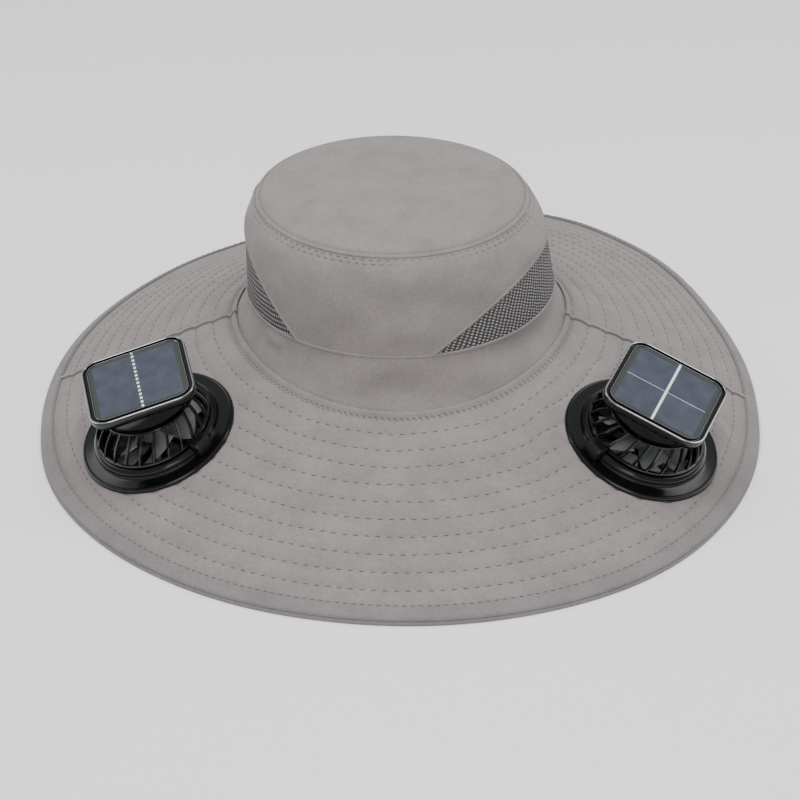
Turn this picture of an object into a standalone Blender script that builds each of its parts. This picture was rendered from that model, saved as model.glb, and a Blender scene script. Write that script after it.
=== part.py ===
"""Wide-brimmed cloth sun hat with two solar fans let into its brim, resting on the brim's edge.

Metres, +Z up, with the front of the brim towards -Y. Left is -X and right is +X, as seen from
the front. The origin lies on the floor, under the middle of the brim. Angles run anticlockwise
from +X, in degrees.
"""

import math
from collections import namedtuple

import bmesh
import bpy
import numpy as np
from mathutils import Matrix, Vector

# Cloth
CLOTH = 0.0020
NET_WALL = 0.0012
GAP = 0.0003
SEAM_EASE = 0.0006

# Crown: three ovals, from the seam with the brim to the seam of the top panel
HEAD_HALF_WIDTH = 0.0867
HEAD_HALF_LENGTH = 0.0950
HEAD_SEAM_HEIGHT = 0.0500
HEAD_SEAM_SADDLE = 0.0056
BAND_TOP_HALF_WIDTH = 0.0810
BAND_TOP_HALF_LENGTH = 0.0850
BAND_HEIGHT = 0.0200
TOP_HALF_WIDTH = 0.0705
TOP_HALF_LENGTH = 0.0728
WALL_HEIGHT = 0.0520
TOP_DOME = 0.0042
CROWN_LEAN = -0.0022
CROWN_TURN = -15.0
FRONT_PANEL_HALF_ANGLE = 26.3
VENT_CORNER_TURN = 2.0

# Brim
BRIM_HALF_WIDTH = 0.1930
BRIM_FRONT = 0.2235
BRIM_BACK = 0.2360
BRIM_ARCH = 0.0030
HEM_TURNIN = 0.0070
HEM_WALL = 0.0010
HEM_FLAT = 0.0020
HEM_START = 0.93
HEM_EASE = 0.09

# Fans
FLANGE_RADIUS = 0.0410
FLANGE_THICKNESS = 0.0018
COLLAR_RADIUS = 0.0335
COLLAR_HEIGHT = 0.0068
DUCT_RADIUS = 0.0300
DUCT_WALL = 0.0012
CLAMP_RADIUS = 0.0345
CLAMP_THICKNESS = 0.0018
GUARD_HUB_RADIUS = 0.0070
GUARD_SPOKES = 8
SEAT_SINK = 0.0004
SEAT_FLAT = 0.0500
SEAT_FADE = 0.0640
CAGE_RADIUS = 0.0305
CAGE_TOP_RADIUS = 0.0240
CAGE_TOP_HEIGHT = 0.0200
CAGE_WALL = 0.0018
HOOP_HEIGHT = 0.0016
RIBS = 24
RIB_SHARE = 0.34
RIB_LEAN = 10.0
HOUSING_RADIUS = 0.0236
SHAFT_RADIUS = 0.0015
HUB_RADIUS = 0.0105
HUB_HEIGHT = 0.0110
BLADES = 7
BLADE_RADIUS = 0.0245
BLADE_HEIGHT = 0.0090
BLADE_WALL = 0.0010
PANEL_TOP = 0.0358
FRAME_SIDE = 0.0550
FRAME_CORNER = 0.0095
FRAME_THICKNESS = 0.0055
TRIM_WIDTH = 0.0012
SOLAR_THICKNESS = 0.0016
LATCH_WIDTH = 0.0090
LATCH_DEPTH = 0.0036

# How far the crown wall has drawn in at each share of its height, from the band to the top seam
WallStep = namedtuple("WallStep", "height inward")
WALL_PROFILE = (
    WallStep(0.00, 0.00),
    WallStep(0.35, 0.10),
    WallStep(0.60, 0.21),
    WallStep(0.80, 0.39),
    WallStep(0.92, 0.64),
    WallStep(1.00, 1.00),
)

# How far the band has flared at each share of its height, from the vents down to the brim
BandStep = namedtuple("BandStep", "down outward")
BAND_PROFILE = (BandStep(0.0, 0.0), BandStep(0.5, 0.28), BandStep(1.0, 1.0))

# The slanting edge of a vent: share of the way from the front panel's corner to the side of the
# crown, and share of the wall's height
VentStep = namedtuple("VentStep", "along height")
VENT_EDGE = (
    VentStep(0.00, 0.00),
    VentStep(0.28, 0.33),
    VentStep(0.52, 0.54),
    VentStep(0.72, 0.66),
    VentStep(1.00, 0.74),
)

# Soft bulges and lifts of the brim's edge: reach as a share of the brim's own, lift as a share
# of the height of the head seam
BrimWave = namedtuple("BrimWave", "toward spread reach lift")
BRIM_WAVES = (
    BrimWave(toward=-51.0, spread=22.0, reach=0.025, lift=0.0),
    BrimWave(toward=-4.0, spread=16.0, reach=-0.022, lift=0.0),
    BrimWave(toward=50.0, spread=20.0, reach=0.004, lift=0.12),
    BrimWave(toward=135.0, spread=24.0, reach=-0.042, lift=0.0),
    BrimWave(toward=-142.0, spread=16.0, reach=0.012, lift=0.0),
)

# Where the two halves of the brim are joined, at the crown and at the edge
BrimSeam = namedtuple("BrimSeam", "at_crown at_edge")
RIGHT_SEAM = BrimSeam(-9.0, -6.0)
LEFT_SEAM = BrimSeam(183.0, 176.0)

# Each fan: its place on the brim, as a direction and a share of the way from crown to edge; the
# slope and heading of its seat and of its head; the turn of its panel and the side of its latch
Fan = namedtuple("Fan", "side toward reach seat_slope seat_heading head_slope head_heading spin latch")
FANS = (
    Fan("left", -149.5, 0.540, 23.0, 222.0, 16.5, 214.0, 9.0, -45.0),
    Fan("right", -36.0, 0.560, 24.3, -41.0, 23.5, -39.0, -19.0, -140.0),
)

CLOTH_GREY = (0.33, 0.31, 0.30)
NET_GREY = (0.08, 0.08, 0.08)
BLACK = (0.01, 0.01, 0.01)
BLADE_GREY = (0.06, 0.06, 0.06)
CELL_BLUE = (0.09, 0.10, 0.14)


def clear_scene():
    for thing in list(bpy.data.objects):
        bpy.data.objects.remove(thing)


def material(name, colour, roughness, metallic=0.0):
    made = bpy.data.materials.new(name)
    made.use_nodes = True
    shader = made.node_tree.nodes["Principled BSDF"]
    shader.inputs["Base Color"].default_value = (*colour, 1.0)
    shader.inputs["Roughness"].default_value = roughness
    shader.inputs["Metallic"].default_value = metallic
    made.diffuse_color = (*colour, 1.0)
    return made


def put(name, mesh, finish, parent=None):
    """The mesh as a smooth-shaded object of the scene, in its parent's frame."""
    mesh.materials.append(finish)
    mesh.shade_smooth()
    mesh.set_sharp_from_angle(angle=math.radians(35))
    made = bpy.data.objects.new(name, mesh)
    bpy.context.scene.collection.objects.link(made)
    made.parent = parent
    return made


def closed(name, points, faces):
    """A mesh of these points and faces, with its poles welded and its faces turned outward."""
    mesh = bpy.data.meshes.new(name)
    mesh.from_pydata([tuple(point) for point in points], [], faces)
    shape = bmesh.new()
    shape.from_mesh(mesh)
    bmesh.ops.remove_doubles(shape, verts=shape.verts, dist=1e-7)
    bmesh.ops.recalc_face_normals(shape, faces=shape.faces)
    shape.to_mesh(mesh)
    shape.free()
    return mesh


def wall_between(name, face, back, wraps=False, keep=None):
    """A closed wall between two grids of points, with an edge face round each cell left out."""
    rows, columns = face.shape[:2]
    spans = columns if wraps else columns - 1
    if keep is None:
        keep = np.ones((rows - 1, spans), bool)

    def corner(place, side):
        return side * rows * columns + place[0] * columns + place[1] % columns

    def kept(row, column):
        column = column % spans if wraps else column
        return 0 <= row < rows - 1 and 0 <= column < spans and keep[row, column]

    faces = []
    for row, column in zip(*np.nonzero(keep)):
        ring = [(row, column), (row, column + 1), (row + 1, column + 1), (row + 1, column)]
        faces.append([corner(place, 0) for place in ring])
        faces.append([corner(place, 1) for place in reversed(ring)])
        beside = [(row - 1, column), (row, column + 1), (row + 1, column), (row, column - 1)]
        for start, end, other in zip(ring, ring[1:] + ring[:1], beside):
            pole = np.allclose(face[start[0], start[1] % columns], face[end[0], end[1] % columns], atol=1e-7)
            if not kept(*other) and not pole:
                faces.append([corner(end, 0), corner(start, 0), corner(start, 1), corner(end, 1)])
    return closed(name, np.concatenate([face.reshape(-1, 3), back.reshape(-1, 3)]), faces)


def fade(distance, near, far):
    """1 up to near, 0 from far on, and a smooth step between."""
    share = np.clip((far - distance) / (far - near), 0.0, 1.0)
    return share * share * (3.0 - 2.0 * share)


def head_seam(angle):
    """The seam between crown and brim, an oval whose sides ride higher than its ends."""
    turn = np.radians(angle)
    height = HEAD_SEAM_HEIGHT + HEAD_SEAM_SADDLE * np.cos(2.0 * turn)
    return np.stack([HEAD_HALF_WIDTH * np.cos(turn), HEAD_HALF_LENGTH * np.sin(turn), height], -1)


def edge_wave(angle, part):
    """The sum of the brim's bulges or lifts in this direction, each a bell of its own spread."""
    total = 0.0 * angle
    for wave in BRIM_WAVES:
        off = (angle - wave.toward + 180.0) % 360.0 - 180.0
        total = total + getattr(wave, part) * np.exp(-((off / wave.spread) ** 2))
    return total


def edge_lift(angle):
    return HEAD_SEAM_HEIGHT * edge_wave(angle, "lift")


def brim_edge(angle):
    """The cloth's edge on its upper face, inside the hem: two half ovals with soft bulges."""
    turn = np.radians(angle)
    half_length = np.where(np.sin(turn) < 0.0, BRIM_FRONT, BRIM_BACK)
    swell = 1.0 + edge_wave(angle, "reach")
    across = (BRIM_HALF_WIDTH * swell - HEM_WALL - GAP) * np.cos(turn)
    along = (half_length * swell - HEM_WALL - GAP) * np.sin(turn)
    height = edge_lift(angle) + CLOTH + GAP + HEM_WALL
    return np.stack([across, along, height], -1)


def free_brim(angle, reach):
    """The brim before the fans flatten it: straight from seam to edge, with a slight arch."""
    share = np.asarray(reach)[..., None]
    inner = head_seam(angle)
    inner = inner + outward(angle) * SEAM_EASE
    surface = inner + (brim_edge(angle) - inner) * share
    return surface + np.array([0.0, 0.0, 4.0 * BRIM_ARCH]) * share * (1.0 - share)


def outward(angle):
    turn = np.radians(angle)
    return np.stack([np.cos(turn), np.sin(turn), 0.0 * turn], -1)


def tilted_frame(place, slope, heading, spin=0.0):
    """A frame at this place whose Z leans by slope towards heading, turned about that Z."""
    lean = math.radians(slope)
    turn = math.radians(heading)
    axis = Vector((math.sin(lean) * math.cos(turn), math.sin(lean) * math.sin(turn), math.cos(lean)))
    side = Vector((0.0, 1.0, 0.0)).cross(axis).normalized()
    frame = Matrix((side, axis.cross(side), axis)).transposed().to_4x4()
    return Matrix.Translation(place) @ frame @ Matrix.Rotation(math.radians(spin), 4, "Z")


def seat_frame(fan):
    """The fan's seat: a plane on the brim, sunk so that the cloth rises round its sides."""
    place = free_brim(np.array(fan.toward), np.array(fan.reach))
    place = place - np.array([0.0, 0.0, SEAT_SINK])
    return tilted_frame(Vector(place), fan.seat_slope, fan.seat_heading)


def brim_surface(angle, reach):
    """The brim's upper face, pulled flat under each fan and left alone at the hem."""
    surface = free_brim(angle, reach)
    free_height = surface[..., 2].copy()
    for fan in FANS:
        frame = seat_frame(fan)
        centre = np.array(frame.translation)
        axis = np.array(frame.col[2][:3])
        off = surface - centre
        flat = centre[2] - (off[..., 0] * axis[0] + off[..., 1] * axis[1]) / axis[2]
        near = np.linalg.norm(np.stack([off[..., 0], off[..., 1], flat - centre[2]], -1), axis=-1)
        pull = fade(near, SEAT_FLAT, SEAT_FADE) * fade(np.asarray(reach), HEM_START - HEM_EASE, HEM_START)
        surface[..., 2] += pull * (flat - free_height)
    return surface


def seam_angle(seam, reach):
    return seam.at_crown + (seam.at_edge - seam.at_crown) * reach


def brim_half(name, shares, rows, start, end, finish):
    """Half of the brim from one side seam to the other, its columns at the given shares."""
    reach = rows[:, None] + 0.0 * shares[None, :]
    gap_turn = np.degrees(0.5 * GAP / (HEAD_HALF_WIDTH + (BRIM_HALF_WIDTH - HEAD_HALF_WIDTH) * reach))
    first = seam_angle(start, reach) + gap_turn
    turn = (seam_angle(end, reach) - gap_turn - first) % 360.0
    angle = first + turn * shares[None, :]
    face = brim_surface(angle, reach)
    return put(name, wall_between(name, face, face - np.array([0.0, 0.0, CLOTH])), finish)


def front_columns():
    """Shares of the front half's turn, closer together where the fans sit."""
    first = LEFT_SEAM.at_crown
    turn = (RIGHT_SEAM.at_crown - first) % 360.0
    stops = [0.0]
    for fan in FANS:
        middle = (fan.toward - first) % 360.0 / turn
        stops.extend([middle - 0.13, middle + 0.13])
    stops.append(1.0)
    counts = (2, 12, 6, 12, 2)
    pieces = [np.linspace(a, b, n, endpoint=False) for a, b, n in zip(stops, stops[1:], counts)]
    return np.append(np.concatenate(pieces), 1.0)


def back_columns():
    return np.linspace(0.0, 1.0, 25)


def column_angles(reach):
    """The directions of the columns of both halves at this share of the reach, in turn."""
    left = seam_angle(LEFT_SEAM, reach)
    right = seam_angle(RIGHT_SEAM, reach)
    front = left + (right - left) % 360.0 * front_columns()
    back = right + (left - right) % 360.0 * back_columns()
    return np.concatenate([front[:-1], back[:-1] + 360.0])


def fan_hole(fan):
    """The cutter of the round hole that a fan's duct passes through."""
    bpy.ops.mesh.primitive_cylinder_add(vertices=32, radius=DUCT_RADIUS + GAP, depth=0.04)
    cutter = bpy.context.object
    cutter.name = f"hole_{fan.side}"
    cutter.matrix_world = seat_frame(fan)
    cutter.hide_render = True
    cutter.display_type = "WIRE"
    return cutter


def make_brim(cloth):
    front_rows = np.append(np.linspace(0.0, HEM_START, 10), 1.0)
    front = brim_half("brim_front", front_columns(), front_rows, LEFT_SEAM, RIGHT_SEAM, cloth)
    for fan in FANS:
        cut = front.modifiers.new(f"hole_{fan.side}", "BOOLEAN")
        cut.operation = "DIFFERENCE"
        cut.object = fan_hole(fan)
    back_rows = np.array([0.0, 0.22, 0.45, 0.68, HEM_START, 1.0])
    brim_half("brim_back", back_columns(), back_rows, RIGHT_SEAM, LEFT_SEAM, cloth)


def hem_lines():
    """The cloth's edge, and the unit directions down the brim and level outwards from it."""
    angle = column_angles(1.0)
    edge = brim_edge(angle)
    down = edge - brim_surface(column_angles(HEM_START), np.full(angle.shape, HEM_START))
    down /= np.linalg.norm(down, axis=1)[:, None]
    level = down * np.array([1.0, 1.0, 0.0])
    level /= np.linalg.norm(level, axis=1)[:, None]
    return edge, down, level


def make_hem(cloth):
    """The strip folded round the brim's edge, flat underneath where the hat rests."""
    edge, down, level = hem_lines()
    up = np.array([0.0, 0.0, 1.0])
    inner_end = edge - down * HEM_TURNIN
    far = edge + level * (GAP + HEM_WALL)
    floor = edge_lift(column_angles(1.0))[:, None]
    section = [
        inner_end + up * (GAP + HEM_WALL),
        edge + level * GAP + up * (GAP + HEM_WALL),
        far + up * (GAP - CLOTH * 0.5),
        np.concatenate([far[:, :2], floor], 1),
        np.concatenate([(far - level * (HEM_FLAT + HEM_WALL))[:, :2], floor], 1),
        inner_end - up * (CLOTH + GAP + HEM_WALL),
        inner_end - up * (CLOTH + GAP),
        edge + level * GAP - up * (CLOTH + GAP),
        edge + level * GAP + up * GAP,
        inner_end + up * GAP,
    ]
    grid = np.stack(section)
    rows, columns = grid.shape[:2]
    faces = []
    for row in range(rows):
        for column in range(columns):
            after_row = (row + 1) % rows
            after_column = (column + 1) % columns
            ring = ((row, column), (row, after_column), (after_row, after_column), (after_row, column))
            faces.append([r * columns + c for r, c in ring])
    put("brim_hem", closed("brim_hem", grid.reshape(-1, 3), faces), cloth)


def make_band(cloth):
    """The cloth band between the vents and the brim, flaring as it comes down."""
    angle = np.linspace(-180.0, 180.0, 40, endpoint=False)
    turn = np.radians(angle)
    seam = head_seam(angle)
    rows = []
    for down in (0.0, 0.5, 1.0):
        flare = np.interp(down, [s.down for s in BAND_PROFILE], [s.outward for s in BAND_PROFILE])
        width = BAND_TOP_HALF_WIDTH + (HEAD_HALF_WIDTH - BAND_TOP_HALF_WIDTH) * flare
        length = BAND_TOP_HALF_LENGTH + (HEAD_HALF_LENGTH - BAND_TOP_HALF_LENGTH) * flare
        top = HEAD_SEAM_HEIGHT + BAND_HEIGHT - 0.5 * GAP
        height = top + (seam[:, 2] - CLOTH - top) * down
        rows.append(np.stack([width * np.cos(turn), length * np.sin(turn), height], -1))
    face = np.stack(rows)
    put("crown_band", wall_between("crown_band", face, face - outward(angle) * CLOTH, wraps=True), cloth)


def crown_wall(angle, height, inset=0.0):
    """The crown's side at these directions and shares of its height."""
    turn = np.radians(angle)
    inward = np.interp(height, [s.height for s in WALL_PROFILE], [s.inward for s in WALL_PROFILE])
    width = BAND_TOP_HALF_WIDTH + (TOP_HALF_WIDTH - BAND_TOP_HALF_WIDTH) * inward - inset
    length = BAND_TOP_HALF_LENGTH + (TOP_HALF_LENGTH - BAND_TOP_HALF_LENGTH) * inward - inset
    base = HEAD_SEAM_HEIGHT + BAND_HEIGHT + 0.5 * GAP
    level = base + (WALL_HEIGHT - GAP) * height
    return np.stack([width * np.cos(turn) + CROWN_LEAN * height, length * np.sin(turn), level], -1)


def vent_angles():
    """Directions along a vent's slanting edge, from the front panel's middle: its steps and the
    middles between them."""
    steps = [FRONT_PANEL_HALF_ANGLE + (90.0 - FRONT_PANEL_HALF_ANGLE) * s.along for s in VENT_EDGE]
    return np.interp(np.arange(0.0, len(steps) - 0.75, 0.5), np.arange(len(steps)), steps)


def vent_edge_height(off_middle):
    """Height of the slanting edge, as a share of the wall's, this far from the panel's middle."""
    along = (off_middle - FRONT_PANEL_HALF_ANGLE) / (90.0 - FRONT_PANEL_HALF_ANGLE)
    return np.interp(along, [s.along for s in VENT_EDGE], [s.height for s in VENT_EDGE])


def make_crown_panel(name, middle, cloth):
    """The front or back of the crown: narrow at the band and as wide as half the crown above."""
    beside_vent = vent_angles()
    beside_vent[-1] -= np.degrees(0.5 * GAP / BAND_TOP_HALF_WIDTH)
    half = np.concatenate([[0.5 * FRONT_PANEL_HALF_ANGLE], beside_vent])
    off_middle = np.concatenate([-half[::-1], [0.0], half])[None, :]
    low = vent_edge_height(np.abs(off_middle))
    share = np.array([0.0, 0.25, 0.5, 0.7, 0.85, 0.94, 1.0])[:, None]
    height = low + (1.0 - low) * share
    angle = middle + off_middle + 0.0 * share
    put(name, wall_between(name, crown_wall(angle, height), crown_wall(angle, height, CLOTH)), cloth)


def make_vent(name, middle, net):
    """The net on one side of the crown, a low triangle with its tip at the side seam."""
    beside_panel = vent_angles()
    beside_panel[0] += VENT_CORNER_TURN
    off_panel = np.concatenate([beside_panel, 180.0 - beside_panel[-2::-1]])[None, :]
    top = vent_edge_height(90.0 - np.abs(90.0 - off_panel)) - SEAM_EASE / WALL_HEIGHT
    share = np.array([0.0, 0.35, 0.7, 1.0])[:, None]
    angle = middle - 90.0 + off_panel + 0.0 * share
    inset = 0.4 * (CLOTH - NET_WALL)
    face = crown_wall(angle, top * share, inset)
    put(name, wall_between(name, face, crown_wall(angle, top * share, inset + NET_WALL)), net)


def make_crown_top(cloth):
    """The top panel, an oval that domes a little and lies on the crown's upper seam."""
    turn = np.radians(np.linspace(-180.0, 180.0, 40, endpoint=False))[None, :]
    share = np.array([0.0, 0.45, 0.80, 1.0])[:, None]
    base = HEAD_SEAM_HEIGHT + BAND_HEIGHT + WALL_HEIGHT + 0.5 * GAP
    level = base + TOP_DOME * (1.0 - share**2) + 0.0 * turn
    across = CROWN_LEAN + TOP_HALF_WIDTH * share * np.cos(turn)
    under = np.stack([across, TOP_HALF_LENGTH * share * np.sin(turn), level], -1)
    put("crown_top", wall_between("crown_top", under + np.array([0.0, 0.0, CLOTH]), under, wraps=True), cloth)


def turned(name, profile, segments, finish, parent):
    """A profile of (radius, height) points, outer side first and downwards, turned about Z."""
    ring = profile[0][0] > 0.0 or profile[-1][0] > 0.0
    mesh = bpy.data.meshes.new(name)
    edges = [(i, i + 1) for i in range(len(profile) - 1)]
    if ring:
        edges.append((len(profile) - 1, 0))
    mesh.from_pydata([(radius, 0.0, height) for radius, height in profile], edges, [])
    made = put(name, mesh, finish, parent)
    screw = made.modifiers.new("turn", "SCREW")
    screw.steps = segments
    screw.render_steps = segments
    screw.use_merge_vertices = True
    screw.merge_threshold = 1e-5
    return made


def make_flange(fan, plastic, seat):
    """The flat ring on the brim, its raised collar, and the duct that passes through the cloth."""
    top = GAP + FLANGE_THICKNESS
    inner = DUCT_RADIUS - DUCT_WALL
    profile = (
        (inner, COLLAR_HEIGHT),
        (COLLAR_RADIUS - 0.0022, COLLAR_HEIGHT),
        (COLLAR_RADIUS - 0.0006, COLLAR_HEIGHT - 0.0016),
        (COLLAR_RADIUS, top + 0.0006),
        (FLANGE_RADIUS - 0.0008, top),
        (FLANGE_RADIUS, top - 0.0007),
        (FLANGE_RADIUS, GAP),
        (DUCT_RADIUS, GAP),
        (DUCT_RADIUS, -CLOTH),
        (inner, -CLOTH),
    )
    turned(f"fan_{fan.side}_flange", profile, 30, plastic, seat)


def make_clamp(fan, plastic, seat):
    """The ring under the brim that holds the flange, with plain spokes across the air duct."""
    top = -CLOTH - 2.0 * GAP
    spans = 4 * GUARD_SPOKES
    turn = np.linspace(0.0, 2.0 * math.pi, spans, endpoint=False)[None, :]
    radius = np.array([0.0, GUARD_HUB_RADIUS, DUCT_RADIUS - DUCT_WALL, CLAMP_RADIUS])[:, None]
    face = np.stack([radius * np.cos(turn), radius * np.sin(turn), top + 0.0 * radius * turn], -1)
    keep = np.ones((3, spans), bool)
    keep[1] = np.arange(spans) % 4 == 0
    name = f"fan_{fan.side}_clamp"
    put(name, wall_between(name, face, face - np.array([0.0, 0.0, CLAMP_THICKNESS]), True, keep), plastic, seat)


def make_cage(fan, plastic, seat, head_in_seat):
    """The slotted guard: a hoop on the collar, a hoop under the housing, and ribs between them."""
    base = COLLAR_HEIGHT + GAP
    rib_turn = 2.0 * math.pi / RIBS
    starts = np.arange(RIBS) * rib_turn
    turn = np.stack([starts, starts + rib_turn * RIB_SHARE], -1).reshape(-1)
    lean = math.radians(RIB_LEAN)
    to_head = np.array(head_in_seat)

    def hoop(radius, height, in_head):
        angle = turn + (lean if in_head else 0.0)
        points = np.stack([radius * np.cos(angle), radius * np.sin(angle), height + 0.0 * angle], -1)
        return points @ to_head[:3, :3].T + to_head[:3, 3] if in_head else points

    def side(inset):
        low = CAGE_RADIUS - inset
        high = CAGE_TOP_RADIUS - inset
        return np.stack([
            hoop(low, base, False),
            hoop(low, base + HOOP_HEIGHT, False),
            hoop(high, CAGE_TOP_HEIGHT - HOOP_HEIGHT, True),
            hoop(high, CAGE_TOP_HEIGHT, True),
        ])

    keep = np.ones((3, 2 * RIBS), bool)
    keep[1] = np.arange(2 * RIBS) % 2 == 0
    name = f"fan_{fan.side}_cage"
    put(name, wall_between(name, side(0.0), side(CAGE_WALL), True, keep), plastic, seat)


def make_housing(fan, plastic, head):
    """The drum with the motor and cell inside, seated on the cage, and the motor's shaft."""
    base = CAGE_TOP_HEIGHT + GAP
    top = PANEL_TOP - FRAME_THICKNESS - GAP
    plug = CAGE_TOP_RADIUS - CAGE_WALL - GAP
    profile = (
        (0.0, top),
        (HOUSING_RADIUS, top),
        (HOUSING_RADIUS, base + 0.0012),
        (HOUSING_RADIUS - 0.0010, base),
        (plug, base),
        (plug, base - HOOP_HEIGHT),
        (SHAFT_RADIUS, base - HOOP_HEIGHT),
        (SHAFT_RADIUS, impeller_base() + GAP),
        (0.0, impeller_base() + GAP),
    )
    turned(f"fan_{fan.side}_housing", profile, 24, plastic, head)


def impeller_base():
    """Height of the impeller's underside on the fan's axis, just above the middle of the seat."""
    return COLLAR_HEIGHT - 0.5 * BLADE_HEIGHT


def make_impeller(fan, plastic, head):
    """A bored hub with pitched blades, narrower at their tops to follow the cage."""
    base = impeller_base()
    bore = SHAFT_RADIUS + GAP
    profile = (
        (bore, base + HUB_HEIGHT),
        (HUB_RADIUS - 0.0015, base + HUB_HEIGHT),
        (HUB_RADIUS, base + HUB_HEIGHT - 0.0015),
        (HUB_RADIUS, base),
        (bore, base),
    )
    hub = turned(f"fan_{fan.side}_impeller", profile, 21, plastic, head)
    blades = []
    for index in range(BLADES):
        blades.append(blade(f"blade_{fan.side}_{index}", 360.0 * index / BLADES, base, plastic, head))
    group = bpy.data.collections.new(f"blades_{fan.side}")
    bpy.context.scene.collection.children.link(group)
    for piece in blades:
        bpy.context.scene.collection.objects.unlink(piece)
        group.objects.link(piece)
    join = hub.modifiers.new("blades", "BOOLEAN")
    join.operation = "UNION"
    join.operand_type = "COLLECTION"
    join.collection = group


def blade(name, start, base, plastic, head):
    """One pitched blade, from inside the hub's skin to its tip."""
    radius = np.array([HUB_RADIUS - 0.0012, 0.55 * (HUB_RADIUS + BLADE_RADIUS), BLADE_RADIUS])[None, :]
    up = np.array([0.0, 0.5, 1.0])[:, None]
    draw_in = 1.0 - 0.10 * up * (radius - HUB_RADIUS) / (BLADE_RADIUS - HUB_RADIUS)
    sweep = np.radians(start + 30.0 * up + 14.0 * (radius / BLADE_RADIUS) ** 2)
    height = base + 0.0008 + (BLADE_HEIGHT - 0.0016) * up + 0.0 * radius
    half = 0.5 * BLADE_WALL / radius

    def side(turn):
        return np.stack([radius * draw_in * np.cos(turn), radius * draw_in * np.sin(turn), height], -1)

    made = put(name, wall_between(name, side(sweep + half), side(sweep - half)), plastic, head)
    made.hide_render = True
    made.display_type = "WIRE"
    return made


def rounded_square(half, corner, steps=3):
    """The outline of a square with arcs at its corners, anticlockwise."""
    points = []
    for quarter in range(4):
        middle = math.radians(45.0 + 90.0 * quarter)
        centre = Vector((math.cos(middle), math.sin(middle))) * math.sqrt(2.0) * (half - corner)
        for step in range(steps + 1):
            turn = math.radians(90.0 * quarter + 90.0 * step / steps)
            points.append(centre + Vector((math.cos(turn), math.sin(turn))) * corner)
    return np.array([tuple(point) for point in points])


def square_ring(half, corner, height):
    outline = rounded_square(half, corner)
    return np.concatenate([outline, np.full((len(outline), 1), height)], 1)


def make_panel(fan, plastic, glass, head):
    """The square tray on the housing and the solar plate that lies in it."""
    half = 0.5 * FRAME_SIDE
    low = PANEL_TOP - FRAME_THICKNESS
    floor = PANEL_TOP - SOLAR_THICKNESS - GAP
    inner = half - TRIM_WIDTH
    rings = [
        square_ring(1e-9, 5e-10, low),
        square_ring(half - 0.0016, FRAME_CORNER - 0.0016, low),
        square_ring(half, FRAME_CORNER, low + 0.0020),
        square_ring(half, FRAME_CORNER, PANEL_TOP),
        square_ring(inner, FRAME_CORNER - TRIM_WIDTH, PANEL_TOP),
        square_ring(inner, FRAME_CORNER - TRIM_WIDTH, floor),
        square_ring(1e-9, 5e-10, floor),
    ]
    name = f"fan_{fan.side}_panel_frame"
    put(name, closed(name, np.concatenate(rings), tube_faces(len(rings), len(rings[0]))), plastic, head)
    plate_half = inner - GAP
    plate_corner = FRAME_CORNER - TRIM_WIDTH - GAP
    rings = [
        square_ring(1e-9, 5e-10, floor + GAP),
        square_ring(plate_half, plate_corner, floor + GAP),
        square_ring(plate_half, plate_corner, PANEL_TOP - GAP),
        square_ring(1e-9, 5e-10, PANEL_TOP - GAP),
    ]
    name = f"fan_{fan.side}_solar_plate"
    put(name, closed(name, np.concatenate(rings), tube_faces(len(rings), len(rings[0]))), glass, head)


def tube_faces(rows, columns):
    """The faces of a stack of rings, open at both ends."""
    faces = []
    for row in range(rows - 1):
        for column in range(columns):
            after = (column + 1) % columns
            faces.append([
                row * columns + column,
                row * columns + after,
                (row + 1) * columns + after,
                (row + 1) * columns + column,
            ])
    return faces


def make_latch(fan, plastic, seat):
    """The catch beside the collar: it stands on the flange and hooks over the collar's top."""
    foot = GAP + FLANGE_THICKNESS + 0.0006 + GAP
    hook = COLLAR_HEIGHT + GAP
    near = CAGE_RADIUS + GAP
    leg = COLLAR_RADIUS + GAP
    far = leg + LATCH_DEPTH
    top = hook + HOOP_HEIGHT + 0.0016
    outline = ((leg, foot), (far, foot), (far, top - 0.0014), (far - 0.0014, top), (near, top), (near, hook), (leg, hook))
    half = 0.5 * LATCH_WIDTH
    points = []
    for side in (-half, half):
        points.extend((radius, side, height) for radius, height in outline)
    count = len(outline)
    faces = [list(range(count))[::-1], list(range(count, 2 * count))]
    for index in range(count):
        after = (index + 1) % count
        faces.append([index, after, count + after, count + index])
    name = f"fan_{fan.side}_latch"
    made = put(name, closed(name, points, faces), plastic, seat)
    made.rotation_euler.z = math.radians(fan.latch)


def empty(name, frame):
    made = bpy.data.objects.new(name, None)
    bpy.context.scene.collection.objects.link(made)
    made.matrix_world = frame
    return made


def make_fan(fan, black, blade_grey, glass):
    """One fan: the seat pieces in the frame of the brim, the head pieces in that of the panel."""
    seat_place = seat_frame(fan)
    head_place = tilted_frame(seat_place.translation, fan.head_slope, fan.head_heading)
    seat = empty(f"seat_{fan.side}", seat_place)
    head = empty(f"head_{fan.side}", head_place)
    panel = empty(f"panel_{fan.side}", head_place @ Matrix.Rotation(math.radians(fan.spin), 4, "Z"))
    make_flange(fan, black, seat)
    make_clamp(fan, black, seat)
    make_cage(fan, black, seat, seat_place.inverted() @ head_place)
    make_latch(fan, black, seat)
    make_housing(fan, black, head)
    make_impeller(fan, blade_grey, head)
    make_panel(fan, black, glass, panel)


def stand_on_middle():
    """Everything is moved together, so that the middle of the brim stands over the origin."""
    edge, _, level = hem_lines()
    far = edge + level * (GAP + HEM_WALL)
    middle = 0.5 * (far.min(axis=0) + far.max(axis=0))
    hat = empty("hat", Matrix.Translation((-middle[0], -middle[1], 0.0)))
    for thing in bpy.data.objects:
        if thing.parent is None and thing is not hat:
            thing.parent = hat


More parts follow.
